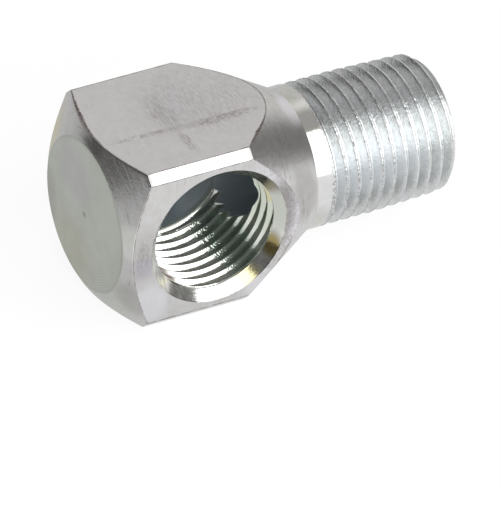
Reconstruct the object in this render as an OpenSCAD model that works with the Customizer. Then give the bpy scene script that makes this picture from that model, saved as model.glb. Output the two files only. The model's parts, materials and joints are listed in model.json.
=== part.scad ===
// Square-bar elbow fitting: a taper-threaded stem and a threaded port at right angles.
// It is turned and drilled from one length of square steel bar, then zinc plated.
// Millimetres. The origin is where the stem's axis (+X) crosses the port's axis (-Y).
// The fitting lies on the flat of the bar that faces -Z.

/* [Square bar] */
// Width across the flats of the bar
bar_width = 12.7; // [12.2:0.1:16]
// Bevel along the four long edges of the bar, measured along each flat
bar_edge_bevel = 0.6; // [0.2:0.05:1.2]

/* [Closed nose] */
// Distance from the port's axis to the faced end
nose_length = 7.2; // [6.8:0.1:10]
// Diameter of the flat faced disc on the end
nose_face_d = 11.12; // [8:0.02:11.8]
// Angle between the nose chamfer and the faced end, in degrees
nose_chamfer_angle = 30; // [20:1:45]

/* [Stem] */
// Distance from the port's axis to the end of the shoulder cone
shoulder_end = 8.35; // [7.6:0.05:9]
// Angle between the shoulder cone and the stem's axis, in degrees
shoulder_cone_angle = 30; // [25:1:45]
// Diameter of the plain shank and of the thread blank, over the crests
shank_d = 10.29; // [9.6:0.01:10.8]
// Distance from the port's axis to where the crests start to taper
taper_start = 13.8; // [10:0.1:16]
// Loss of diameter for each millimetre of taper
taper_per_mm = 0.0625; // [0.04:0.0025:0.08]
// Distance from the port's axis to the free end of the stem
stem_length = 19.65; // [17:0.05:24]
// Diameter of the flat ring on the free end
stem_face_d = 8.8; // [7.6:0.1:9.2]

/* [Threaded port] */
// Diameter of the port over the thread's inner crests
port_d = 9.2; // [8.2:0.05:9.4]
// Distance from the mouth to the end of the port's wall
port_depth = 8.8; // [7.5:0.1:9.3]
// Point angle of the drill that opened the port, in degrees
port_point_angle = 118; // [110:1:140]
// Diameter of the countersink at the mouth
countersink_d = 10.58; // [9.8:0.02:11]
// Included angle of the countersink, in degrees
countersink_angle = 90; // [60:1:100]

/* [Waterway] */
// Diameter of the waterway drilled up the stem
waterway_d = 6; // [4:0.1:6.6]
// Width of the bevel where the waterway leaves the stem
waterway_bevel = 0.3; // [0.1:0.05:0.6]
// How far the waterway's drill runs past the wall of the port
waterway_overrun = 1; // [0.5:0.1:1.5]

/* [Hidden] */
$fn = 96;
zinc_plate = [0.74, 0.75, 0.74];
cutter_margin = 1;
drill_point_angle = 118;
bar_half = bar_width / 2;
corner_radius = norm([bar_half, bar_half - bar_edge_bevel]);
envelope_radius = corner_radius + cutter_margin;
nose_face_r = nose_face_d / 2;
nose_chamfer_end = (envelope_radius - nose_face_r) * tan(nose_chamfer_angle) - nose_length;
shank_r = shank_d / 2;
shoulder_start = shoulder_end - (envelope_radius - shank_r) / tan(shoulder_cone_angle);
stem_face_r = stem_face_d / 2;
full_taper_r = shank_r - (stem_length - taper_start) * taper_per_mm / 2;
end_bevel = (full_taper_r - stem_face_r) / (1 - taper_per_mm / 2);
taper_end_r = stem_face_r + end_bevel;
port_r = port_d / 2;
port_wall_end = port_depth - bar_half;
port_point_length = port_r / tan(port_point_angle / 2);
countersink_r = countersink_d / 2;
countersink_depth = (countersink_r - port_r) / tan(countersink_angle / 2);
cutter_r = countersink_r + cutter_margin * tan(countersink_angle / 2);
waterway_r = waterway_d / 2;
waterway_start = sqrt(port_r * port_r - waterway_r * waterway_r) - waterway_overrun;
waterway_point_length = waterway_r / tan(drill_point_angle / 2);

// Cross-section of the bar in its own plane
module bar_section() {
    flat_half = bar_half - bar_edge_bevel;
    polygon([
        [flat_half, bar_half], [bar_half, flat_half],
        [bar_half, -flat_half], [flat_half, -bar_half],
        [-flat_half, -bar_half], [-bar_half, -flat_half],
        [-bar_half, flat_half], [-flat_half, bar_half]
    ]);
}

// The bar as sawn, a little longer than the fitting at both ends
module square_bar() {
    rotate([0, 90, 0])
        translate([0, 0, -nose_length - cutter_margin])
            linear_extrude(height = nose_length + stem_length + 2 * cutter_margin)
                bar_section();
}

// Everything the lathe leaves: nose, clear middle, shoulder cone, shank and tapered blank
module turned_envelope() {
    rotate([0, 90, 0])
        rotate_extrude()
            polygon([
                [0, -nose_length], [nose_face_r, -nose_length],
                [envelope_radius, nose_chamfer_end], [envelope_radius, shoulder_start],
                [shank_r, shoulder_end], [shank_r, taper_start],
                [taper_end_r, stem_length - end_bevel],
                [stem_face_r, stem_length], [0, stem_length]
            ]);
}

// The drilled port with its pointed bottom and countersunk mouth, open towards -Y
module port_cutter() {
    rotate([90, 0, 0])
        rotate_extrude()
            polygon([
                [0, -port_wall_end - port_point_length], [port_r, -port_wall_end],
                [port_r, bar_half - countersink_depth], [countersink_r, bar_half],
                [cutter_r, bar_half + cutter_margin], [0, bar_half + cutter_margin]
            ]);
}

// The waterway from the stem's free end into the port, with a broken edge at the end
module waterway_cutter() {
    mouth_r = waterway_r + waterway_bevel;
    rotate([0, 90, 0])
        rotate_extrude()
            polygon([
                [0, waterway_start - waterway_point_length], [waterway_r, waterway_start],
                [waterway_r, stem_length - waterway_bevel], [mouth_r, stem_length],
                [mouth_r + cutter_margin, stem_length + cutter_margin],
                [0, stem_length + cutter_margin]
            ]);
}

// The whole fitting
module elbow_body() {
    color(zinc_plate)
        difference() {
            intersection() {
                square_bar();
                turned_envelope();
            }
            port_cutter();
            waterway_cutter();
        }
}

elbow_body();
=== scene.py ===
"""Dresses a square-bar elbow fitting: cut threads, machined faces and bright zinc plate."""

import json
import math

import bmesh
import bpy
import numpy as np
from mathutils import Matrix, Vector, noise


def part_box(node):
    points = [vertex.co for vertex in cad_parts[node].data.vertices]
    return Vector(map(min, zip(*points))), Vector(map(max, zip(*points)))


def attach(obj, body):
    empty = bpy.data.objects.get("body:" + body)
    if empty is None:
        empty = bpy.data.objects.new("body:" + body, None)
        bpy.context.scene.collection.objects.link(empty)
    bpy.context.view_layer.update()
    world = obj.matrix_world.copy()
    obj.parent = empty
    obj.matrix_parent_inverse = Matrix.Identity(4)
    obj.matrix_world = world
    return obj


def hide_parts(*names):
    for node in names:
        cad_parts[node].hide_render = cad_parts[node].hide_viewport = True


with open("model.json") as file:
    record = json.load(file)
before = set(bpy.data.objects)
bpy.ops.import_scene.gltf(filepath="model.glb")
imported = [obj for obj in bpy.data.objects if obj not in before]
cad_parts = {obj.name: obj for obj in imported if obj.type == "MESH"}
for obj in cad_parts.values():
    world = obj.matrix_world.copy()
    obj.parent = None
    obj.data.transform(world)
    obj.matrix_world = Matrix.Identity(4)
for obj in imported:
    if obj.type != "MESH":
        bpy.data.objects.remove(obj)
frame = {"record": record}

bl_info = {
    "name": "Square-bar elbow fitting",
    "version": (1, 0, 0),
    "blender": (4, 5, 0),
    "location": "3D View > Sidebar > Elbow",
    "description": "Machined and zinc-plated elbow fitting with its cut threads",
    "category": "Object",
}

# What the frame gives
MM = 0.001
NODE = "elbow_body"
LOW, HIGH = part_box(NODE)
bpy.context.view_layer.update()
NOSE_MM = LOW.x / MM
FRONT_MM = LOW.y / MM
TOP_MM = HIGH.z / MM
MOUNT_MM = {mount["name"]: mount["dims"] for mount in frame["record"]["mounts"]}
SHANK_MM = MOUNT_MM["male_stem"]["r_mm"]
PORT_MM = MOUNT_MM["female_port"]["r_mm"]
WATERWAY_MM = MOUNT_MM["waterway"]["r_mm"]

# How finely the mesh is divided
FLAT_COLUMNS = 44
BEVEL_COLUMNS = 3
ROUND_ANGLES = np.linspace(0, math.tau, 180, endpoint=False)
CORNER_STEPS = 3
NOSE_ROUND_STEPS = 6
NOSE_FACE_SHARES = (0.2, 0.5, 0.8)
CONE_SHARES = (0.4, 0.6, 0.8, 0.9)
FLANK_ROWS = 6
SHARP_ANGLE = math.radians(24)

# How the threads and the cutters end
RUN_IN = 0.5 * MM
RUN_OUT = 0.3 * MM
TEAR_DEPTH = 0.07 * MM
TEAR_LENGTH = 0.28 * MM
CUT_MARGIN = 0.4 * MM
BEVEL_CUTTER_REACH = 1.5 * MM
WELD_GAP = 0.002 * MM
# Turns a cutter's own axis, +X, to the port's, -Y
PORT_TO_WORLD = Matrix(((0, 1, 0, 0), (-1, 0, 0, 0), (0, 0, 1, 0), (0, 0, 0, 1)))

# Finishes, each named for the metal and how its surface was made
FLAT = "zinc_on_drawn_flat"
EDGE = "zinc_on_drawn_bevel"
FACED = "zinc_on_faced_end"
TURNED = "zinc_on_turned_cone"
SHANK = "zinc_on_burnished_shank"
STEM_THREAD = "zinc_on_cut_thread"
PORT_THREAD = "zinc_on_tapped_thread"
COUNTERSUNK = "zinc_on_countersink"
DRILLED = "zinc_on_drilled_point"
WATERWAY = "zinc_on_drilled_waterway"
END_FACE = "zinc_on_faced_ring"

# Patterns. Real tool marks and grain are 0.02 to 0.1 mm wide, too fine to show in the render.
# Every mark here is drawn coarser, at about 0.1 mm or more, as coarse as it needs to show.
FACING_PITCH_MM = 0.19
# At a scale of 1, a wave texture repeats after this length
WAVE_LENGTH = math.tau / 20
MARK_DETAIL = 3
CLOUD_DETAIL = 5
NOISE_ROUGHNESS = 0.6
CLOUD_SPREAD = (0.35, 0.65)
SPECK_SPREAD = (0.42, 0.6)
PATCH_CORE = 0.4
# Outer and inner radius of the painted shade in the faced end's centre dimple
PIP_SHADE_MM = (0.32, 0.1)
RIM_INSET_MM = 0.03
RIM_HALF_WIDTH_MM = 0.07
STEM_CREST_MM = (5.06, 5.12)
MOUTH_RIM_MM = (5.2, 5.26)

# The burnt line along a flat's edges, and the places where it is wide and lumpy
EDGE_LINE_MM = (0.43, 0.3)
EDGE_LUMPS_MM = (0.42, 0.3)
EDGE_WANDER_MM = 0.2
LINE_THINS_MM = 0.2
LUMPS_THIN_MM = 0.4
WIDE_EDGES_MM = (((-6.4, 2.8, TOP_MM), (2, 4.5, 2)), ((3.6, -4.2, TOP_MM), (2.4, 2.4, 2)))

# Floor, room and the softbox beside the camera
FLOOR_REACH = 3.0
FLOOR_GAP = 0.01 * MM
PAPER_WHITE = (0.8, 0.8, 0.8, 1)
PAPER_GLOW = 1.08
PAPER_GLOW_SHARE = 0.85
MIRRORED_PAPER_WHITE = (0.1, 0.1, 0.1, 1)
# The metal sees the floor's glow fade behind the fitting: a painted shadow where the fitting's own shadow
# falls
FLOOR_FRONT_WAY = (0.3, -0.9, 0)
MIRRORED_GLOW = {"From Min": -0.002, "From Max": 0.012, "To Min": 0.6, "To Max": 0.93}
ROOM_COLOUR = "#fffdfa"
ROOM_DARK = 0.095
ROOM_PATCHES = (
    ((0.456, 0.822, 0.342), 50, 28, 0.62),
    ((0.2, 0, 1), 50, 25, 0.38),
    ((1, 0, 0), 60, 20, 0.12),
    ((-0.48, -0.84, 0.26), 45, 20, 0.02),
)
CAMERA_SOFTBOX_AZIMUTH = math.radians(-104.5)
CAMERA_SOFTBOX_WIDTH = 0.125
CAMERA_SOFTBOX_START = 0.25


def size_mm(name, description, length):
    """A length whose default is given in millimetres."""
    default = length * MM
    return bpy.props.FloatProperty(name=name, description=description, default=default, unit="LENGTH")


def degrees(name, description, turn):
    """An angle whose default is given in degrees."""
    default = math.radians(turn)
    return bpy.props.FloatProperty(name=name, description=description, default=default, subtype="ANGLE")


def hex_colour(name, looks, default):
    """A colour, held as an sRGB hex value."""
    description = looks + ", as an sRGB hex value"
    return bpy.props.StringProperty(name=name, description=description, default=default)


class ElbowBarSizes(bpy.types.PropertyGroup):
    """The square bar and its two turned cones"""

    edge_bevel: size_mm("Edge bevel", "Bevel along the bar's four long edges, measured along each flat", 0.6)
    edge_round: size_mm("Edge round", "Radius that plating and handling leave on every sharp edge", 0.05)
    nose_face_radius: size_mm("Nose face radius", "Radius of the flat faced disc on the closed end", 5.56)
    nose_round: size_mm("Nose round", "Radius between the faced disc and the nose chamfer", 0.5)
    nose_chamfer_angle: degrees("Nose chamfer angle", "Angle between the nose chamfer and the faced disc", 30)
    shoulder_end: size_mm("Shoulder end", "Distance from the port's axis to the shoulder cone's end", 8.35)
    shoulder_angle: degrees("Shoulder angle", "Angle between the shoulder cone and the stem's axis", 30)


class ElbowThreadSizes(bpy.types.PropertyGroup):
    """The tapered stem thread and the port's thread"""

    pitch: size_mm("Pitch", "Distance between turns of both threads", 25.4 / 27)
    flank_angle: degrees("Flank angle", "Angle between a thread's flank and the plane across its axis", 30)
    stem_crest: size_mm("Stem crest", "Width of the flat left on the stem thread's crests", 0.09)
    stem_depth: size_mm("Stem depth", "Depth of the stem's thread", 0.66)
    stem_start: size_mm(
        "Stem thread start", "Distance from the port's axis to the first turn of the stem's thread", 9.5
    )
    stem_phase: size_mm("Stem phase", "Place of a crest of the stem's thread, on its +Y side", 0.812)
    taper_start: size_mm(
        "Taper start", "Distance from the port's axis to where the crests start to taper", 13.8
    )
    taper: bpy.props.FloatProperty(
        name="Taper",
        description="Loss of diameter over a length of taper, as a share of that length",
        default=1 / 16,
    )
    end_radius: size_mm("End radius", "Outer radius of the flat ring on the stem's free end", 4.4)
    port_crest: size_mm("Port crest", "Width of the drilled flat left on the port thread's crests", 0.12)
    port_depth: size_mm("Port thread depth", "Depth of the port's thread", 0.5)
    port_start: size_mm(
        "Port thread start", "Distance from the stem's axis to the end of the port's thread", 5.66
    )
    port_end: size_mm("Port thread end", "Distance past the stem's axis to where the tap stopped", 2.15)
    port_phase: size_mm("Port phase", "Place of a crest of the port's thread, on its +X side", 0.921)


class ElbowDrillSizes(bpy.types.PropertyGroup):
    """The drilled port, its countersink and the waterway"""

    port_wall_end: size_mm("Port wall end", "Distance past the stem's axis to the port wall's end", 2.45)
    point_angle: degrees("Point angle", "Included angle of the drills' points", 118)
    countersink_radius: size_mm("Countersink radius", "Radius of the countersink at the flat", 5.29)
    countersink_angle: degrees("Countersink angle", "Included angle of the countersink", 90)
    waterway_bevel: size_mm("Waterway bevel", "Width of the bevel where the waterway leaves the stem", 0.3)
    waterway_overrun: size_mm("Waterway overrun", "How far the waterway's drill passes the port's wall", 1.0)


class ElbowFinish(bpy.types.PropertyGroup):
    """Colours of the bright zinc plate"""

    zinc: hex_colour("Zinc", "Bright zinc plate", "#d2d1d1")
    zinc_dull: hex_colour("Dull zinc", "Thinner or handled plate", "#cbcac9")
    zinc_green: hex_colour("Green zinc", "Passivated plate with a faint green cast", "#c8cbc3")
    zinc_blue: hex_colour("Blue zinc", "Passivated plate with a faint blue cast", "#dcdfe1")
    zinc_stem: hex_colour("Stem zinc", "Grey patches on the stem's thread", "#d1d3d2")
    zinc_faced: hex_colour("Faced zinc", "Duller green-grey plate on the faced end", "#c9ccc4")
    zinc_lilac: hex_colour("Lilac zinc", "Passivated plate with a faint lilac cast", "#bfbdc6")
    zinc_frosted: hex_colour("Frosted zinc", "Rough plate, in pale patches", "#e4e3e8")
    zinc_straw: hex_colour("Straw zinc", "Passivated plate with a straw cast", "#dad3a6")
    zinc_olive: hex_colour("Olive zinc", "Passivated plate with an olive cast", "#b5a66a")
    zinc_port: hex_colour("Port zinc", "Brightest plate, on the tapped flanks", "#eef0ea")
    zinc_sage: hex_colour("Sage zinc", "Passivated plate on the port's right wall", "#ccd3c4")
    # A dark green-grey painted shade, low on the port's right wall
    painted_port_shade: hex_colour("Moss shade", "Dark green-grey painted shade, low in the port", "#a3b3a6")
    zinc_blind: hex_colour("Blind zinc", "Thin plate at the bottom of the port", "#727d84")
    # Also the colour of a painted pool of light on the right of the port's drilled bottom
    waterway_zinc_and_painted_light: hex_colour("Waterway zinc", "Thin plate in the waterway", "#c0c8cc")
    # Burnt and torn metal in marks and along edges. The same colour also lays painted shade: in a crease on
    # the top flat, in the faced end's centre dimple and at the waterway's opening in the port
    burr_and_shade: hex_colour("Burr and shade", "Burnt and torn metal in marks and along edges", "#5c524d")


class ElbowStage(bpy.types.PropertyGroup):
    """Camera and softbox"""

    azimuth: degrees("Camera azimuth", "Turn of the camera about Z, from looking along +Y", -29.429)
    elevation: degrees("Camera elevation", "Height of the camera above the horizon", 34.886)
    roll: degrees("Camera roll", "Turn of the camera about its own axis", 2.284)
    camera_distance: size_mm(
        "Camera distance", "Distance from the fitting's origin to the camera, along its view", 783.6
    )
    camera_right: size_mm(
        "Camera right", "Shift of the camera to its right, from the fitting's origin", 5.272
    )
    camera_up: size_mm("Camera up", "Shift of the camera upward, from the fitting's origin", -4.695)
    lens: bpy.props.FloatProperty(
        name="Lens",
        description="Focal length in millimetres, for a frame 36 mm on its long side",
        default=784.7,
    )
    softbox_azimuth: degrees("Softbox azimuth", "Direction of the softbox from the fitting, from +X", -61.5)
    softbox_distance: size_mm("Softbox distance", "Distance from the fitting to the softboxes", 250)
    softbox_width: size_mm("Softbox width", "Width of the softbox", 290)
    softbox_height: size_mm("Softbox height", "Height of the softboxes' upper edge", 430)
    softbox_radiance: bpy.props.FloatProperty(
        name="Softbox radiance", description="Brightness of the softboxes, where 1 is white", default=2.4
    )


def skin():
    """Starts an empty skin of points and faces."""
    return {"points": [], "faces": [], "finish": []}


def add_ring(surface, axial, radial, angles):
    """Adds one ring of points (axial, radial, angle) and gives its vertex numbers."""
    first = len(surface["points"])
    axial = np.broadcast_to(axial, angles.shape)
    radial = np.broadcast_to(radial, angles.shape)
    surface["points"].extend(zip(axial, radial * np.cos(angles), radial * np.sin(angles)))
    return list(range(first, first + len(angles)))


def add_face(surface, corners, finish):
    """Adds a face without its repeated corners, if three or more are left."""
    kept = [v for k, v in enumerate(corners) if v != corners[k - 1]]
    if len(set(kept)) >= 3:
        surface["faces"].append(kept)
        surface["finish"].append(finish)


def add_band(surface, ring, next_ring, finish):
    """Joins two rings with a band of faces that look away from the axis."""
    count = len(ring)
    for i in range(count):
        j = (i + 1) % count
        corners = [ring[i], ring[j], next_ring[j], next_ring[i]]
        add_face(surface, corners, finish if isinstance(finish, str) else finish[i])


def add_tip(surface, axial, ring, finish, at_start):
    """Closes a ring with a fan to a point on the axis."""
    tip = len(surface["points"])
    surface["points"].append((axial, 0.0, 0.0))
    count = len(ring)
    for i in range(count):
        j = (i + 1) % count
        add_face(surface, [tip, ring[j], ring[i]] if at_start else [tip, ring[i], ring[j]], finish)


def rounded_corner(corner, way_in, way_out, radius, steps=CORNER_STEPS):
    """Rows of a small round at a corner of a profile, as (axial, radial) pairs."""
    way_in = Vector(way_in).normalized()
    way_out = Vector(way_out).normalized()
    turn = way_in.angle(way_out)
    inward = (way_out - way_in * way_in.dot(way_out)).normalized()
    reach = radius * math.tan(turn / 2)
    rows = []
    for step in range(steps + 1):
        angle = turn * step / steps
        along = radius * math.sin(angle) - reach
        across = radius * (1 - math.cos(angle))
        shift = way_in * along + inward * across
        rows.append((corner[0] + shift.x, corner[1] + shift.y))
    return rows


def between_corners(start, end):
    """Rows that keep a long cone's shading true between its two corners."""
    return [tuple(a + (b - a) * share for a, b in zip(start, end)) for share in CONE_SHARES]


def bar_section(half, bevel, edge_round):
    """The bar's rounded outline, as angles and radii about the stem's axis."""
    flat = half - bevel
    corners = []
    for quarter in range(4):
        turn = Matrix.Rotation(quarter * math.pi / 2, 2)
        corners.append(turn @ Vector((half, flat)))
        corners.append(turn @ Vector((flat, half)))
    reach = edge_round * math.tan(math.pi / len(corners))
    outline = []
    for k, corner in enumerate(corners):
        next_corner = corners[(k + 1) % len(corners)]
        way_in = corner - corners[k - 1]
        way_out = next_corner - corner
        outline.extend(Vector(p) for p in rounded_corner(corner, way_in, way_out, edge_round))
        start = outline[-1]
        end = next_corner - way_out.normalized() * reach
        columns = BEVEL_COLUMNS if k % 2 == 0 else FLAT_COLUMNS
        outline.extend(start.lerp(end, column / columns) for column in range(1, columns))
    angles = np.array([math.atan2(p.y, p.x) % math.tau for p in outline])
    radii = np.array([p.length for p in outline])
    order = np.argsort(angles)
    return angles[order], radii[order]


def thread_rows(crest, depth, pitch, flank_angle):
    """Phases, from a crest's middle and as shares of the pitch, of one turn's rows."""
    flank = depth * math.tan(flank_angle)
    rise = (crest / 2 + flank * np.linspace(0, 1, FLANK_ROWS)) / pitch
    return np.concatenate([[0], rise, [0.5], 1 - rise[::-1]])


def thread_depth(phase, crest, depth, pitch, flank_angle):
    """Depth of a V thread below its crests at a phase, with flat crests and roots."""
    from_crest = np.abs((phase + 0.5) % 1 - 0.5) * pitch
    return np.clip((from_crest - crest / 2) / math.tan(flank_angle), 0, depth)


def add_thread(surface, angles, start, end, first_crest, pitch, phases, radius_at, finish):
    """A skin whose rows follow the thread. Rows past either end gather in a plain ring."""
    lead = pitch * angles / math.tau
    turns = range(int((start - first_crest) / pitch) - 2, int((end - first_crest) / pitch) + 2)
    offsets = np.array([first_crest + (turn + phase) * pitch for turn in turns for phase in phases])
    start_ring = add_ring(surface, start, radius_at(np.full_like(angles, start), angles), angles)
    end_ring = add_ring(surface, end, radius_at(np.full_like(angles, end), angles), angles)
    numbers = np.empty((len(offsets), len(angles) + 1), int)
    for row, offset in enumerate(offsets):
        axial = offset + lead
        radial = radius_at(axial, angles)
        for i, (x, r, angle) in enumerate(zip(axial, radial, angles)):
            if x <= start:
                numbers[row, i] = start_ring[i]
            elif x >= end:
                numbers[row, i] = end_ring[i]
            else:
                numbers[row, i] = len(surface["points"])
                surface["points"].append((x, r * math.cos(angle), r * math.sin(angle)))
    for row in range(len(offsets)):
        next_turn = row + len(phases)
        numbers[row, -1] = numbers[next_turn, 0] if next_turn < len(offsets) else end_ring[0]
    for low, high in zip(numbers, numbers[1:]):
        for i in range(len(angles)):
            add_face(surface, [low[i], low[i + 1], high[i + 1], high[i]], finish)
    return start_ring, end_ring


def torn_crest(axial, angles, radius):
    """Small losses, from a fixed noise, that leave a thread's crest ragged."""
    across = radius * np.cos(angles) / TEAR_LENGTH
    upward = radius * np.sin(angles) / TEAR_LENGTH
    places = zip(axial / TEAR_LENGTH, across, upward)
    return TEAR_DEPTH * np.array([abs(noise.noise(Vector(place))) for place in places])


def skin_object(name, surface, materials, to_world=Matrix.Identity(4)):
    """Makes a mesh object from a skin and drops the points that no face uses."""
    mesh = bpy.data.meshes.new(name)
    used = sorted({v for face in surface["faces"] for v in face})
    number = {v: k for k, v in enumerate(used)}
    points = [to_world @ Vector(surface["points"][v]) for v in used]
    mesh.from_pydata(points, [], [[number[v] for v in face] for face in surface["faces"]])
    for material in materials:
        mesh.materials.append(material)
    names = [material.name for material in materials]
    mesh.polygons.foreach_set("material_index", [names.index(f) for f in surface["finish"]])
    mesh.validate()
    piece = bpy.data.objects.new(name, mesh)
    bpy.context.scene.collection.objects.link(piece)
    return piece


def turned_blank(bar, thread, finishes):
    """Nose, bar flats, shoulder, shank and cut thread as one closed piece."""
    half = HIGH.z
    nose = LOW.x
    end = HIGH.x
    shank = SHANK_MM * MM
    angles, radii = bar_section(half, bar.edge_bevel, bar.edge_round)
    on_flat = np.isclose(np.maximum(abs(radii * np.cos(angles)), abs(radii * np.sin(angles))), half)
    sides = [FLAT if a and b else EDGE for a, b in zip(on_flat, np.roll(on_flat, -1))]
    along = (1, 0)
    chamfer_way = (math.sin(bar.nose_chamfer_angle), math.cos(bar.nose_chamfer_angle))
    shoulder_way = (math.cos(bar.shoulder_angle), -math.sin(bar.shoulder_angle))
    chamfer_x = nose + (radii - bar.nose_face_radius) * math.tan(bar.nose_chamfer_angle)
    shoulder_x = bar.shoulder_end - (radii - shank) / math.tan(bar.shoulder_angle)
    face_corner = (nose, bar.nose_face_radius)
    shoulder_corner = (bar.shoulder_end, shank)
    face_rows = [(nose, bar.nose_face_radius * share) for share in NOSE_FACE_SHARES]
    face_rows += rounded_corner(face_corner, (0, 1), chamfer_way, bar.nose_round, NOSE_ROUND_STEPS)
    chamfer_rows = between_corners(face_corner, (chamfer_x, radii))
    chamfer_rows += rounded_corner((chamfer_x, radii), chamfer_way, along, bar.edge_round)
    flat_rows = rounded_corner((shoulder_x, radii), along, shoulder_way, bar.edge_round)
    shank_rows = between_corners((shoulder_x, radii), shoulder_corner)
    shank_rows += rounded_corner(shoulder_corner, shoulder_way, along, bar.edge_round)
    stretches = ((face_rows, FACED), (chamfer_rows, TURNED), (flat_rows, sides), (shank_rows, TURNED))
    surface = skin()
    rings = []
    for rows, finish in stretches:
        for axial, radial in rows:
            rings.append((add_ring(surface, axial, radial, angles), finish))
    add_tip(surface, nose, rings[0][0], FACED, True)
    for (ring, _), (next_ring, finish) in zip(rings, rings[1:]):
        add_band(surface, ring, next_ring, finish)
    form = (thread.stem_crest, thread.stem_depth, thread.pitch, thread.flank_angle)

    def radius_at(axial, angles):
        blank = shank - np.clip(axial - thread.taper_start, 0, None) * thread.taper / 2
        phase = (axial - thread.stem_phase) / thread.pitch - angles / math.tau
        run_in = np.clip((axial - thread.stem_start) / RUN_IN, 0, 1)
        return blank - np.maximum(thread_depth(phase, *form), torn_crest(axial, angles, shank)) * run_in

    start_ring, end_ring = add_thread(
        surface, angles, thread.stem_start, end, thread.stem_phase, thread.pitch,
        thread_rows(*form), radius_at, STEM_THREAD
    )
    add_band(surface, rings[-1][0], start_ring, SHANK)
    inner = add_ring(surface, end, WATERWAY_MM * MM, angles)
    add_band(surface, end_ring, inner, END_FACE)
    add_tip(surface, end, inner, END_FACE, False)
    return skin_object("elbow_fitting", surface, finishes)


def port_drilling(thread, drill, finishes):
    """The tapped port with its drilled point, as a cutter."""
    port = PORT_MM * MM
    point = port / math.tan(drill.point_angle / 2)
    form = (thread.port_crest, thread.port_depth, thread.pitch, thread.flank_angle)

    def radius_at(axial, angles):
        phase = (axial - thread.port_phase) / thread.pitch - angles / math.tau
        run_in = np.clip((axial + thread.port_end) / RUN_IN, 0, 1)
        run_out = np.clip((thread.port_start - axial) / RUN_OUT, 0, 1)
        return port + thread_depth(phase, *form) * run_in * run_out

    surface = skin()
    wall_start = add_ring(surface, -drill.port_wall_end, port, ROUND_ANGLES)
    add_tip(surface, -drill.port_wall_end - point, wall_start, DRILLED, True)
    start_ring, end_ring = add_thread(
        surface, ROUND_ANGLES, -thread.port_end, HIGH.z + CUT_MARGIN, thread.port_phase, thread.pitch,
        thread_rows(*form), radius_at, PORT_THREAD
    )
    add_band(surface, wall_start, start_ring, PORT_THREAD)
    add_tip(surface, HIGH.z + CUT_MARGIN, end_ring, PORT_THREAD, False)
    return skin_object("port_drilling", surface, finishes, PORT_TO_WORLD)


def turned_cutter(name, profile, finish, finishes, to_world=Matrix.Identity(4)):
    """A plain revolved cutter from a profile that starts and ends on the axis."""
    surface = skin()
    rings = [add_ring(surface, axial, radial, ROUND_ANGLES) for axial, radial in profile[1:-1]]
    add_tip(surface, profile[0][0], rings[0], finish, True)
    for ring, next_ring in zip(rings, rings[1:]):
        add_band(surface, ring, next_ring, finish)
    add_tip(surface, profile[-1][0], rings[-1], finish, False)
    return skin_object(name, surface, finishes, to_world)


def countersink(drill, finishes):
    """The countersink at the port's mouth, as a cutter."""
    slope = math.tan(drill.countersink_angle / 2)
    outer = HIGH.z + CUT_MARGIN
    profile = [
        (HIGH.z - drill.countersink_radius / slope, 0),
        (outer, drill.countersink_radius + CUT_MARGIN * slope),
        (outer, 0),
    ]
    return turned_cutter("countersink", profile, COUNTERSUNK, finishes, PORT_TO_WORLD)


def waterway_drilling(drill, finishes):
    """The waterway with its bevelled outlet, as a cutter."""
    port = PORT_MM * MM
    bore = WATERWAY_MM * MM
    start = math.sqrt(port * port - bore * bore) - drill.waterway_overrun
    end = HIGH.x + CUT_MARGIN
    profile = [
        (start - bore / math.tan(drill.point_angle / 2), 0),
        (start, bore),
        (HIGH.x - drill.waterway_bevel, bore),
        (end, bore + drill.waterway_bevel + CUT_MARGIN),
        (end, 0),
    ]
    return turned_cutter("waterway_drilling", profile, WATERWAY, finishes)


def end_bevel(thread, finishes):
    """The ring of metal that the bevel takes off the stem's free end, as a cutter."""
    surface = skin()
    outer = thread.end_radius + BEVEL_CUTTER_REACH
    end = HIGH.x + CUT_MARGIN
    profile = [(HIGH.x - BEVEL_CUTTER_REACH, outer), (end, outer), (end, thread.end_radius - CUT_MARGIN)]
    rings = [add_ring(surface, axial, radial, ROUND_ANGLES) for axial, radial in profile]
    for k, ring in enumerate(rings):
        add_band(surface, ring, rings[(k + 1) % len(rings)], END_FACE)
    return skin_object("end_bevel", surface, finishes)


def apply_modifiers(piece):
    """Puts the result of a piece's modifiers into its mesh."""
    graph = bpy.context.evaluated_depsgraph_get()
    mesh = bpy.data.meshes.new_from_object(piece.evaluated_get(graph))
    piece.modifiers.clear()
    piece.data = mesh


def cut_away(piece, cutter):
    """Takes a cutter's volume off a piece and deletes the cutter."""
    modifier = piece.modifiers.new(cutter.name, "BOOLEAN")
    modifier.operation = "DIFFERENCE"
    modifier.solver = "EXACT"
    modifier.material_mode = "INDEX"
    modifier.object = cutter
    apply_modifiers(piece)
    bpy.data.objects.remove(cutter)


def weld(piece):
    """Joins the points that the cuts left on top of each other, so that the skin is closed."""
    surface = bmesh.new()
    surface.from_mesh(piece.data)
    bmesh.ops.remove_doubles(surface, verts=surface.verts, dist=WELD_GAP)
    surface.to_mesh(piece.data)
    surface.free()


def shade(piece):
    """Smooth shading that keeps flats flat and real edges sharp."""
    piece.data.shade_smooth()
    piece.data.set_sharp_from_angle(angle=SHARP_ANGLE)
    modifier = piece.modifiers.new("flats_stay_flat", "WEIGHTED_NORMAL")
    modifier.keep_sharp = True
    apply_modifiers(piece)


def linear(colour):
    """An sRGB hex colour as linear red, green, blue and alpha."""
    shares = [int(colour[i : i + 2], 16) / 255 for i in (1, 3, 5)]
    return [s / 12.92 if s <= 0.04045 else ((s + 0.055) / 1.055) ** 2.4 for s in shares] + [1]


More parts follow.
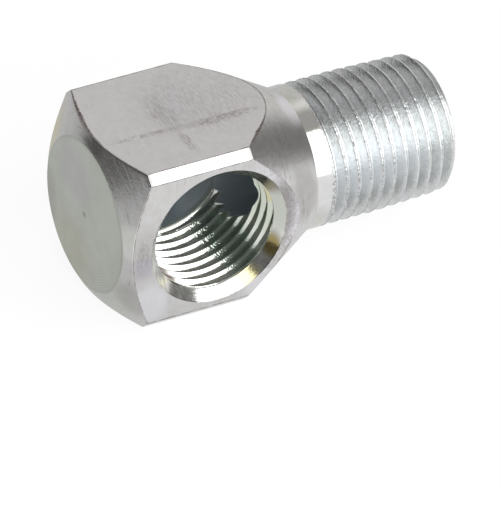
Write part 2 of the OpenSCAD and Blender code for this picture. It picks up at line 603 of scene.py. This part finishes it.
def add_node(tree, kind, settings=None, inputs=None):
    """Adds a shader node, sets its attributes, and sets its inputs or links them to a node or socket."""
    node = tree.nodes.new("ShaderNode" + kind)
    for name, value in (settings or {}).items():
        setattr(node, name, value)
    for name, value in (inputs or {}).items():
        if isinstance(value, bpy.types.Node):
            value = value.outputs[0]
        if isinstance(value, bpy.types.NodeSocket):
            tree.links.new(value, node.inputs[name])
        else:
            node.inputs[name].default_value = value
    return node


def plated_metal(name, light, dull, roughness, cloud_mm=0.6):
    """Starts a zinc-plated finish, with clouds of a duller plate and coordinates in millimetres."""
    material = bpy.data.materials.new(name)
    material.use_nodes = True
    tree = material.node_tree
    tree.nodes.clear()
    place = add_node(tree, "TexCoord").outputs["Object"]
    millimetres = add_node(tree, "VectorMath", {"operation": "SCALE"}, {0: place, "Scale": 1 / MM})
    colour = linear(light)
    shader = add_node(
        tree, "BsdfPrincipled", None, {"Metallic": 1.0, "Roughness": roughness, "Base Color": colour}
    )
    add_node(tree, "OutputMaterial", None, {"Surface": shader})
    finish = {"material": material, "tree": tree, "shader": shader, "mm": millimetres, "colour": colour}
    if dull != light:
        cloud = {"Scale": 1 / cloud_mm, "Detail": CLOUD_DETAIL, "Roughness": NOISE_ROUGHNESS}
        clouds = add_node(tree, "TexNoise", None, {"Vector": millimetres, **cloud})
        stain(finish, clouds, *CLOUD_SPREAD, 1.0, dull)
    return finish


def streaks(finish, across_mm, along_mm, axis, detail=MARK_DETAIL):
    """Noise drawn out along the cut, as wide as across_mm on one axis and along_mm on the others."""
    scale = [1 / along_mm] * 3
    scale[axis] = 1 / across_mm
    mapping = add_node(finish["tree"], "Mapping", None, {"Vector": finish["mm"], "Scale": scale})
    return add_node(
        finish["tree"], "TexNoise", None,
        {"Vector": mapping, "Scale": 1.0, "Detail": detail, "Roughness": NOISE_ROUGHNESS}
    )


def raise_marks(finish, marks):
    """Bumps from (height, depth in millimetres) pairs, one over another."""
    normal = None
    for height, depth_mm in marks:
        inputs = {"Height": height, "Distance": depth_mm * MM, "Strength": 1.0}
        if normal is not None:
            inputs["Normal"] = normal
        normal = add_node(finish["tree"], "Bump", None, inputs)
    finish["tree"].links.new(normal.outputs[0], finish["shader"].inputs["Normal"])


def from_axis(finish, kept):
    """Distance from an axis in millimetres, where kept is 0 on that axis and 1 on the others."""
    tree = finish["tree"]
    across = add_node(tree, "VectorMath", {"operation": "MULTIPLY"}, {0: finish["mm"], 1: kept})
    return add_node(tree, "VectorMath", {"operation": "LENGTH"}, {0: across}).outputs["Value"]


def stain(finish, value, bare, full, strength, colour, broken_mm=0.0, along_mm=0.0):
    """Lays a colour on where a value runs from bare to full, whole or broken up by specks or streaks."""
    tree = finish["tree"]
    cover = add_node(
        tree, "MapRange", {"interpolation_type": "SMOOTHSTEP"},
        {"Value": value, "From Min": bare, "From Max": full, "To Max": strength}
    )
    if broken_mm:
        marks = streaks(finish, broken_mm, along_mm or broken_mm, 0)
        low, high = SPECK_SPREAD
        specks = add_node(tree, "MapRange", None, {"Value": marks, "From Min": low, "From Max": high})
        cover = add_node(tree, "Math", {"operation": "MULTIPLY"}, {0: cover, 1: specks})
    # The colour sockets of a Mix node are inputs 6 and 7 and output 2
    finish["colour"] = add_node(
        tree, "Mix", {"data_type": "RGBA"}, {0: cover, 6: finish["colour"], 7: linear(colour)}
    ).outputs[2]
    tree.links.new(finish["colour"], finish["shader"].inputs["Base Color"])


def shares_from(finish, centre, reach):
    """Distance from a place on the fitting, as a share of its reach in millimetres."""
    tree = finish["tree"]
    shifted = add_node(tree, "VectorMath", {"operation": "SUBTRACT"}, {0: finish["mm"], 1: centre})
    shares = add_node(tree, "VectorMath", {"operation": "DIVIDE"}, {0: shifted, 1: reach})
    return add_node(tree, "VectorMath", {"operation": "LENGTH"}, {0: shares}).outputs["Value"]


def add_patches(finish, *rows):
    """Stains ellipsoids, one over another. A row has a place, its reach in millimetres, the strength
    and the colour, and where the patch is broken up, the width and length of its specks."""
    for centre, reach, *looks in rows:
        stain(finish, shares_from(finish, centre, reach), 1.0, PATCH_CORE, *looks)


def edge_distance(finish, bar):
    """Millimetres from the nearest edge of a flat: the nose chamfer's, the shoulder's or a bevel's."""
    tree = finish["tree"]
    radius = from_axis(finish, (0, 1, 1))
    nose = math.tan(bar.nose_chamfer_angle)
    shoulder = 1 / math.tan(bar.shoulder_angle)
    nose_start = bar.nose_face_radius / MM * nose - NOSE_MM
    shoulder_start = bar.shoulder_end / MM + SHANK_MM * shoulder
    flat_half = (HIGH.z - bar.edge_bevel) / MM
    x, y, z = add_node(tree, "SeparateXYZ", None, {"Vector": finish["mm"]}).outputs
    width, height = [add_node(tree, "Math", {"operation": "ABSOLUTE"}, {0: axis}) for axis in (y, z)]
    nose_cone = add_node(tree, "Math", {"operation": "MULTIPLY_ADD"}, {0: radius, 1: -nose, 2: nose_start})
    shoulder_cone = add_node(
        tree, "Math", {"operation": "MULTIPLY_ADD"}, {0: radius, 1: -shoulder, 2: shoulder_start}
    )
    from_nose = add_node(tree, "Math", {"operation": "ADD"}, {0: x, 1: nose_cone})
    from_shoulder = add_node(tree, "Math", {"operation": "SUBTRACT"}, {0: shoulder_cone, 1: x})
    across = add_node(tree, "Math", {"operation": "MINIMUM"}, {0: width, 1: height})
    from_bevel = add_node(tree, "Math", {"operation": "SUBTRACT"}, {0: flat_half, 1: across})
    from_cone = add_node(tree, "Math", {"operation": "MINIMUM"}, {0: from_nose, 1: from_shoulder})
    return add_node(tree, "Math", {"operation": "MINIMUM"}, {0: from_cone, 1: from_bevel})


def burn_edges(finish, bar, burr_and_shade):
    """A ragged burnt line along a flat's edges, wide and lumpy only near two places."""
    tree = finish["tree"]
    edge = edge_distance(finish, bar)
    wide = [shares_from(finish, centre, reach) for centre, reach in WIDE_EDGES_MM]
    nearest = add_node(tree, "Math", {"operation": "MINIMUM"}, {0: wide[0], 1: wide[1]})
    thin = add_node(tree, "Math", {"operation": "MINIMUM"}, {0: nearest, 1: 1.0})
    wander = streaks(finish, 0.5, 0.5, 0)
    ragged = add_node(tree, "Math", {"operation": "MULTIPLY_ADD"}, {0: wander, 1: EDGE_WANDER_MM, 2: edge})
    ragged = add_node(tree, "Math", {"operation": "MULTIPLY_ADD"}, {0: thin, 1: LINE_THINS_MM, 2: ragged})
    stain(finish, ragged, *EDGE_LINE_MM, 0.8, burr_and_shade)
    lumps = add_node(tree, "Math", {"operation": "MULTIPLY_ADD"}, {0: thin, 1: LUMPS_THIN_MM, 2: edge})
    stain(finish, lumps, *EDGE_LUMPS_MM, 1.0, burr_and_shade, 0.16)


def drawn_flat(colours, bar):
    """Zinc on cold-drawn bar: satin, with chatter across the bar and a burnt line along its edges."""
    finish = plated_metal(FLAT, colours.zinc, colours.zinc_dull, 0.3)
    burr_and_shade, frosted, lilac = colours.burr_and_shade, colours.zinc_frosted, colours.zinc_lilac
    chatter = streaks(finish, 0.13, 1.6, 0, 1.0)
    grain = streaks(finish, 0.2, 0.2, 0)
    raise_marks(finish, ((chatter, 0.016), (grain, 0.013)))
    stain(finish, chatter, 0.46, 0.7, 0.15, burr_and_shade, 2.5)
    stain(finish, grain, 0.62, 0.72, 0.18, burr_and_shade, 0.8)
    add_patches(
        finish,
        ((0, 0, TOP_MM), (16, 16, 1), 0.33, frosted),
        ((0.1, 1.3, TOP_MM), (3, 3.4, 1), 0.22, lilac),
        ((-1.2, 0.3, TOP_MM), (1.2, 2.8, 1), 0.27, burr_and_shade, 0.11, 0.9),
        ((1.8, 0.8, TOP_MM), (6.2, 5.6, 1), 0.18, burr_and_shade, 0.12, 0.7),
        ((-1.1, -3.4, TOP_MM), (0.5, 1.9, 1), 0.45, burr_and_shade, 0.11, 0.8),
        # Painted shade: a soft dark band along a crease on the top flat, speckled darker in two stretches.
        # The mesh has no crease.
        ((1, -1.6, TOP_MM), (5.5, 0.5, 1), 0.14, burr_and_shade),
        ((-3.4, -1.4, TOP_MM), (3, 0.35, 1), 0.35, burr_and_shade, 0.4),
        ((2.6, -1.75, TOP_MM), (3.4, 0.6, 1), 0.42, burr_and_shade, 0.25),
        ((-5.4, FRONT_MM, -4.2), (2.2, 1, 2.2), 0.6, frosted),
        ((-5.8, FRONT_MM, -0.9), (1.2, 1, 1.3), 0.7, lilac),
        ((-5.9, FRONT_MM, 0.1), (0.8, 1, 1.7), 0.3, burr_and_shade, 0.09, 0.4),
        ((-5.9, FRONT_MM, 0.1), (2.2, 1, 3.4), 0.16, burr_and_shade),
    )
    burn_edges(finish, bar, burr_and_shade)
    add_patches(
        finish,
        ((6.1, FRONT_MM, 0.6), (1.3, 1, 5), 0.8, frosted),
        ((3.9, FRONT_MM, -4.9), (2.6, 1, 1.6), 0.75, frosted),
        ((4.6, FRONT_MM, 4), (2.8, 1, 2.4), 0.5, frosted),
        ((4.7, FRONT_MM, 3.6), (2.6, 1, 2.4), 0.28, burr_and_shade, 0.14),
        ((4.8, FRONT_MM, -3.6), (2.2, 1, 2.4), 0.28, burr_and_shade, 0.14),
        ((5.7, FRONT_MM, -0.4), (1.1, 1, 5), 0.3, burr_and_shade, 0.14),
        ((4.9, FRONT_MM, 0.8), (1.5, 1, 3.5), 0.5, burr_and_shade),
    )
    return finish["material"]


def drawn_edge(colours, bar):
    """Zinc on the bar's drawn bevels: smoother and brighter than the flats."""
    finish = plated_metal(EDGE, colours.zinc, colours.zinc, 0.2)
    raise_marks(finish, ((streaks(finish, 0.6, 0.3, 0), 0.012),))
    for x in (-5.6, 2.6):
        add_patches(finish, ((x, FRONT_MM, TOP_MM), (0.6, 1.5, 1.5), 0.6, colours.burr_and_shade))
    return finish["material"]


def faced_end(colours, bar):
    """Zinc on a faced end: fine rings left by the facing tool, a painted shade in the small dimple at its
    centre and a faint green cast.
    """
    finish = plated_metal(FACED, colours.zinc_faced, colours.zinc_green, 0.3, 0.4)
    burr_and_shade = colours.burr_and_shade
    rings = add_node(
        finish["tree"], "TexWave", {"wave_type": "RINGS", "rings_direction": "X"},
        {"Vector": finish["mm"], "Scale": WAVE_LENGTH / FACING_PITCH_MM, "Distortion": 0.4, "Detail": 1}
    ).outputs["Fac"]
    grain = streaks(finish, 0.2, 0.2, 0)
    raise_marks(finish, ((rings, 0.004), (grain, 0.01)))
    radius = from_axis(finish, (0, 1, 1))
    stain(finish, rings, 0.3, 0.9, 0.2, burr_and_shade, 2.5)
    stain(finish, grain, 0.62, 0.74, 0.2, burr_and_shade, 0.8)
    # Painted shade: a dark spot for the small dimple that the facing tool left at the centre, which the mesh
    # doesn't have
    stain(finish, radius, *PIP_SHADE_MM, 0.45, burr_and_shade)
    rim_mm = bar.nose_face_radius / MM - RIM_INSET_MM
    rim = add_node(
        finish["tree"], "Math", {"operation": "COMPARE"}, {0: radius, 1: rim_mm, 2: RIM_HALF_WIDTH_MM}
    )
    stain(finish, rim, 0.0, 1.0, 0.12, burr_and_shade)
    add_patches(
        finish,
        ((NOSE_MM, 1.5, 2.6), (1, 3.2, 3), 0.35, colours.zinc_lilac),
        ((NOSE_MM, 2, -4), (1, 4.5, 3.6), 0.15, colours.zinc_straw),
        ((NOSE_MM, 2, -4), (1, 4.5, 3.6), 0.09, burr_and_shade),
        ((NOSE_MM, 5.4, -1.8), (1, 1.6, 3.5), 0.2, burr_and_shade),
    )
    return finish["material"]


def turned_cone(colours, bar):
    """Zinc on a form-turned cone: streaks round the axis, green below and straw at the back."""
    finish = plated_metal(TURNED, colours.zinc, colours.zinc_dull, 0.27)
    burr_and_shade = colours.burr_and_shade
    lines = streaks(finish, 0.14, 2.5, 0)
    grain = streaks(finish, 0.22, 0.22, 0)
    raise_marks(finish, ((lines, 0.008), (grain, 0.007)))
    stain(finish, lines, 0.55, 0.7, 0.3, burr_and_shade, 1.2)
    add_patches(
        finish,
        ((NOSE_MM, 0, -4.5), (4, 8, 7), 0.8, colours.zinc_green),
        ((NOSE_MM, 6.2, 1), (4, 3, 6), 0.75, colours.zinc_straw),
        ((8, 5.5, 3), (3, 2.5, 3), 0.35, colours.zinc_straw),
        ((-6.8, -5.9, 1.3), (1.4, 1.6, 1.8), 0.55, colours.zinc_port),
        ((-6.6, -6, -3.8), (1.6, 2.2, 2.4), 0.25, burr_and_shade),
        ((-6.9, -0.6, 5.9), (0.7, 1.5, 0.8), 0.4, burr_and_shade),
        ((8, -1.4, 5.3), (1.2, 2.4, 1.2), 1.0, colours.zinc_frosted),
        ((6.9, -5.8, 1), (2.2, 2, 2.8), 0.3, burr_and_shade),
    )
    return finish["material"]


def burnished_shank(colours, bar):
    """Zinc on the burnished shank: near a mirror, with a frosted patch in front."""
    finish = plated_metal(SHANK, colours.zinc, colours.zinc_green, 0.12)
    lines = streaks(finish, 0.15, 2.0, 0)
    grain = streaks(finish, 0.4, 0.4, 0)
    raise_marks(finish, ((lines, 0.003), (grain, 0.004)))
    add_patches(finish, ((9.3, -5, 0.3), (3, 2, 2.2), 0.45, colours.zinc_frosted))
    return finish["material"]


def cut_stem_thread(colours, bar):
    """Zinc on the cut stem thread: pale and faintly blue, wrinkled where the tool tore it."""
    finish = plated_metal(STEM_THREAD, colours.zinc_blue, colours.zinc_stem, 0.27, 0.4)
    lines = streaks(finish, 0.2, 0.8, 0)
    grain = streaks(finish, 0.18, 0.18, 0)
    raise_marks(finish, ((lines, 0.012), (grain, 0.032)))
    add_patches(
        finish,
        ((15, -1.5, 5), (8, 3, 1.6), 0.25, colours.zinc_frosted),
        ((13, -4.8, 1.2), (5.5, 2.2, 3), 1.0, colours.zinc_blue),
        ((15, -4.4, -2.4), (7, 2, 2.2), 0.13, colours.burr_and_shade),
    )
    stain(finish, from_axis(finish, (0, 1, 1)), *STEM_CREST_MM, 0.6, colours.burr_and_shade, 0.12)
    return finish["material"]


def tapped_thread(colours, bar):
    """Zinc in the tapped port: bright flanks, green passivation, painted shade below the waterway's opening
    and the tap's chatter along its axis.
    """
    finish = plated_metal(PORT_THREAD, colours.zinc_port, colours.zinc_port, 0.1)
    # The passivation's film scatters some light, so the plate isn't wholly metallic
    finish["shader"].inputs["Metallic"].default_value = 0.84
    chatter = streaks(finish, 3.0, 0.13, 1, 0.0)
    grain = streaks(finish, 0.2, 0.2, 1)
    low_right = shares_from(finish, (2.2, -1.6, -4.3), (0.9, 7, 0.9))
    tree = finish["tree"]
    deeper = add_node(tree, "MapRange", None, {"Value": low_right, "From Min": 1.0, "From Max": 0.3})
    comb = add_node(tree, "Math", {"operation": "MULTIPLY"}, {0: deeper, 1: chatter})
    raise_marks(finish, ((comb, 0.016), (chatter, 0.003), (grain, 0.002)))
    add_patches(
        finish,
        ((4.6, -3.5, 0.5), (3, 6, 4), 0.8, colours.zinc_sage),
        ((4.7, -5.2, 1.3), (1, 1.6, 1), 0.8, colours.zinc_straw),
        # Painted shade: a dark green-grey patch low on the port's right wall, below the waterway's opening
        ((2.9, -2, -3.6), (2.2, 6, 2), 0.85, colours.painted_port_shade),
        ((-3.3, -4.3, -4), (1.5, 2.6, 1.5), 1.0, colours.burr_and_shade),
        # Painted shade at the lower edge of the waterway's opening
        ((4.2, 0.6, -2.4), (1.6, 2.4, 1.6), 0.4, colours.burr_and_shade),
    )
    return finish["material"]


def countersunk_mouth(colours, bar):
    """Zinc on the countersink: near a mirror, with the cutter's rings, scuffed and straw on one side."""
    finish = plated_metal(COUNTERSUNK, colours.zinc_port, colours.zinc, 0.13)
    burr_and_shade = colours.burr_and_shade
    scuffed = shares_from(finish, (-4.8, -6.1, -1.4), (1.9, 1.5, 3.8))
    metal = add_node(
        finish["tree"], "MapRange", None,
        {"Value": scuffed, "From Min": 0.5, "From Max": 1.0, "To Min": 0.25, "To Max": 0.95}
    )
    finish["tree"].links.new(metal.outputs[0], finish["shader"].inputs["Metallic"])
    rings = streaks(finish, 0.12, 2.5, 1)
    grain = streaks(finish, 0.25, 0.25, 1)
    raise_marks(finish, ((rings, 0.005), (grain, 0.004)))
    add_patches(
        finish,
        ((5, -6, 0.6), (1.6, 1.5, 3.2), 1.0, colours.zinc_faced),
        ((2.5, -6, -4.2), (1.3, 1.5, 1.2), 1.0, colours.zinc_straw),
        ((4.3, -6, -2.2), (0.8, 1.5, 1.2), 1.0, colours.zinc_olive),
        ((4.4, -6, -1.8), (0.8, 1.5, 1.1), 0.4, burr_and_shade),
        ((-2.2, -6, -4.3), (2.3, 1.5, 1.7), 0.3, burr_and_shade, 0.1, 0.6),
        ((-4.3, -6, -2.9), (1.6, 1.5, 1.9), 0.25, burr_and_shade),
        ((-4.3, -6, -2.9), (1.6, 1.5, 1.9), 0.5, burr_and_shade, 0.15, 1.2),
    )
    stain(finish, from_axis(finish, (1, 0, 1)), *MOUTH_RIM_MM, 0.5, burr_and_shade, 0.6)
    add_patches(finish, ((4.2, -6, 3.4), (1.4, 1.5, 1.8), 0.6, burr_and_shade))
    return finish["material"]


def drilled_point(colours, bar):
    """Thin plate at the bottom of the port: dull, dark and blue-grey, half matt, with a painted pool of light
    on its right side.
    """
    finish = plated_metal(DRILLED, colours.zinc_blind, colours.zinc_blind, 0.75)
    finish["shader"].inputs["Metallic"].default_value = 0.4
    raise_marks(finish, ((streaks(finish, 0.3, 1.5, 0), 0.01),))
    # Painted light: a paler patch on the right of the drilled bottom, where the softbox lights it
    add_patches(finish, ((3.4, 2.6, -2.6), (3.2, 2.2, 3.2), 0.4, colours.waterway_zinc_and_painted_light))
    return finish["material"]


def drilled_waterway(colours, bar):
    """Thin plate in the waterway: dull and pale blue-grey, with the drill's streaks round it."""
    finish = plated_metal(WATERWAY, colours.waterway_zinc_and_painted_light, colours.waterway_zinc_and_painted_light, 0.6)
    raise_marks(finish, ((streaks(finish, 0.3, 1.5, 0), 0.01),))
    return finish["material"]


def faced_ring(colours, bar):
    """Zinc on the faced and bevelled free end: bright, with faint clouds and no deep marks."""
    finish = plated_metal(END_FACE, colours.zinc, colours.zinc_dull, 0.2)
    raise_marks(finish, ((streaks(finish, 0.1, 1.5, 0), 0.002),))
    return finish["material"]


FINISH_MAKERS = (
    drawn_flat, drawn_edge, faced_end, turned_cone, burnished_shank, cut_stem_thread,
    tapped_thread, countersunk_mouth, drilled_point, drilled_waterway, faced_ring,
)


class ELBOW_OT_fitting(bpy.types.Operator):
    """Models the fitting with its threads and gives it its finishes"""

    bl_idname = "elbow.fitting"
    bl_label = "Make fitting"

    def execute(self, context):
        scene = context.scene
        bar, thread, drill = scene.elbow_bar, scene.elbow_thread, scene.elbow_drill
        finishes = [make(scene.elbow_finish, bar) for make in FINISH_MAKERS]
        piece = turned_blank(bar, thread, finishes)
        cut_away(piece, end_bevel(thread, finishes))
        cut_away(piece, port_drilling(thread, drill, finishes))
        cut_away(piece, countersink(drill, finishes))
        cut_away(piece, waterway_drilling(drill, finishes))
        weld(piece)
        shade(piece)
        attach(piece, "root")
        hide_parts(NODE)
        return {"FINISHED"}


def camera_turn(stage):
    """The camera's turn and place in the row frame."""
    azimuth, elevation, roll = stage.azimuth, stage.elevation, stage.roll
    across = Vector((math.cos(azimuth), math.sin(azimuth), 0))
    level = math.cos(elevation)
    back = Vector((math.sin(azimuth) * level, -math.cos(azimuth) * level, math.sin(elevation)))
    upward = back.cross(across)
    rolled_across = across * math.cos(roll) + upward * math.sin(roll)
    rolled_upward = upward * math.cos(roll) - across * math.sin(roll)
    turn = Matrix((rolled_across, rolled_upward, back)).transposed()
    place = across * stage.camera_right + upward * stage.camera_up + back * stage.camera_distance
    return turn, place


def add_camera(stage):
    """A long lens at the photograph's angle."""
    data = bpy.data.cameras.new("camera")
    data.lens = stage.lens
    camera = bpy.data.objects.new("camera", data)
    turn, place = camera_turn(stage)
    camera.matrix_world = Matrix.Translation(place) @ turn.to_4x4()
    bpy.context.scene.collection.objects.link(camera)
    bpy.context.scene.camera = camera


def add_floor():
    """A white floor. The camera and the metal see it lifted, and it keeps a faint shadow. The lift that the
    metal sees fades behind the fitting, a painted shadow.
    """
    mesh = bpy.data.meshes.new("floor")
    height = LOW.z - FLOOR_GAP
    signs = ((-1, -1), (1, -1), (1, 1), (-1, 1))
    mesh.from_pydata([(x * FLOOR_REACH, y * FLOOR_REACH, height) for x, y in signs], [], [(0, 1, 2, 3)])
    floor = bpy.data.objects.new("floor", mesh)
    bpy.context.scene.collection.objects.link(floor)
    material = bpy.data.materials.new("white_paper")
    material.use_nodes = True
    tree = material.node_tree
    tree.nodes.clear()
    rays = add_node(tree, "LightPath").outputs
    paper = add_node(tree, "BsdfDiffuse", None, {"Color": PAPER_WHITE})
    lift = add_node(tree, "Emission", None, {"Strength": PAPER_GLOW})
    seen = add_node(tree, "MixShader", None, {0: PAPER_GLOW_SHARE, 1: paper, 2: lift})
    mirrored_paper = add_node(tree, "BsdfDiffuse", None, {"Color": MIRRORED_PAPER_WHITE})
    # Painted shadow: the glow that the metal sees is weaker behind the fitting than in front
    place = add_node(tree, "NewGeometry").outputs["Position"]
    forward = add_node(tree, "VectorMath", {"operation": "DOT_PRODUCT"}, {0: place, 1: FLOOR_FRONT_WAY})
    glow = add_node(tree, "MapRange", None, {"Value": forward.outputs["Value"], **MIRRORED_GLOW})
    mirrored_lift = add_node(tree, "Emission", None, {"Strength": glow})
    mirrored = add_node(tree, "AddShader", None, {0: mirrored_paper, 1: mirrored_lift})
    plain = add_node(tree, "MixShader", None, {0: rays["Is Glossy Ray"], 1: paper, 2: mirrored})
    shown = add_node(tree, "MixShader", None, {0: rays["Is Camera Ray"], 1: plain, 2: seen})
    add_node(tree, "OutputMaterial", None, {"Surface": shown})
    mesh.materials.append(material)


def add_lobe(tree, way, toward, wide, narrow, strength):
    """A soft patch of room light round a direction, between two angles in degrees."""
    aim = Vector(toward).normalized()
    dot = add_node(tree, "VectorMath", {"operation": "DOT_PRODUCT"}, {0: way, 1: aim})
    return add_node(
        tree, "MapRange", {"interpolation_type": "SMOOTHSTEP"},
        {
            "Value": dot.outputs["Value"],
            "From Min": math.cos(math.radians(wide)),
            "From Max": math.cos(math.radians(narrow)),
            "To Max": strength,
        }
    )


def add_room():
    """A dim studio: white paper behind the fitting, a grey ceiling and dark sides."""
    world = bpy.data.worlds.new("studio")
    bpy.context.scene.world = world
    world.use_nodes = True
    tree = world.node_tree
    tree.nodes.clear()
    way = add_node(tree, "TexCoord").outputs["Generated"]
    level = ROOM_DARK
    for toward, wide, narrow, strength in ROOM_PATCHES:
        lobe = add_lobe(tree, way, toward, wide, narrow, strength)
        level = add_node(tree, "Math", {"operation": "ADD"}, {0: lobe, 1: level})
    camera_ray = add_node(tree, "LightPath").outputs["Is Camera Ray"]
    room = add_node(tree, "Background", None, {"Strength": level, "Color": linear(ROOM_COLOUR)})
    white = add_node(tree, "Background", None, {"Strength": 1.0, "Color": (1, 1, 1, 1)})
    shown = add_node(tree, "MixShader", None, {0: camera_ray, 1: room, 2: white})
    add_node(tree, "OutputWorld", None, {"Surface": shown})


def add_softbox(stage, name, azimuth, width, bottom, top):
    """An upright softbox that faces the fitting, with its lower and upper edge above the floor."""
    data = bpy.data.lights.new(name, "AREA")
    data.shape = "RECTANGLE"
    data.size = width
    data.size_y = top - bottom
    data.energy = stage.softbox_radiance * math.pi * data.size * data.size_y
    softbox = bpy.data.objects.new(name, data)
    outward = Vector((math.cos(azimuth), math.sin(azimuth), 0))
    place = outward * stage.softbox_distance
    place.z = LOW.z + (bottom + top) / 2
    softbox.matrix_world = Matrix.Translation(place) @ outward.to_track_quat("Z", "Y").to_matrix().to_4x4()
    softbox.visible_camera = False
    bpy.context.scene.collection.objects.link(softbox)


class ELBOW_OT_stage(bpy.types.Operator):
    """Sets up the camera, the floor, the room and the softboxes"""

    bl_idname = "elbow.stage"
    bl_label = "Make stage"

    def execute(self, context):
        stage = context.scene.elbow_stage
        add_camera(stage)
        add_floor()
        add_room()
        height = stage.softbox_height
        add_softbox(stage, "softbox", stage.softbox_azimuth, stage.softbox_width, 0, height)
        start = CAMERA_SOFTBOX_START * height
        add_softbox(stage, "camera_softbox", CAMERA_SOFTBOX_AZIMUTH, CAMERA_SOFTBOX_WIDTH, start, height)
        context.scene.view_settings.view_transform = "Standard"
        return {"FINISHED"}


class ELBOW_PT_panel(bpy.types.Panel):
    """Lists the sizes, the colours and the operators"""

    bl_label = "Elbow fitting"
    bl_idname = "ELBOW_PT_panel"
    bl_space_type = "VIEW_3D"
    bl_region_type = "UI"
    bl_category = "Elbow"

    def draw(self, context):
        layout = self.layout
        for name, group in PROPERTY_GROUPS.items():
            box = layout.box()
            box.label(text=group.__doc__)
            settings = getattr(context.scene, name)
            for key in group.__annotations__:
                box.prop(settings, key)
        layout.operator(ELBOW_OT_stage.bl_idname)
        layout.operator(ELBOW_OT_fitting.bl_idname)


PROPERTY_GROUPS = {
    "elbow_bar": ElbowBarSizes,
    "elbow_thread": ElbowThreadSizes,
    "elbow_drill": ElbowDrillSizes,
    "elbow_finish": ElbowFinish,
    "elbow_stage": ElbowStage,
}
CLASSES = (*PROPERTY_GROUPS.values(), ELBOW_OT_fitting, ELBOW_OT_stage, ELBOW_PT_panel)


def register():
    """Registers the classes and hangs the property groups on the scene."""
    for cls in CLASSES:
        bpy.utils.register_class(cls)
    for name, group in PROPERTY_GROUPS.items():
        setattr(bpy.types.Scene, name, bpy.props.PointerProperty(type=group))


def unregister():
    """Undoes register."""
    for name in PROPERTY_GROUPS:
        delattr(bpy.types.Scene, name)
    for cls in reversed(CLASSES):
        bpy.utils.unregister_class(cls)


def main():
    register()
    bpy.ops.elbow.stage()
    bpy.ops.elbow.fitting()


if __name__ == "__main__":
    main()
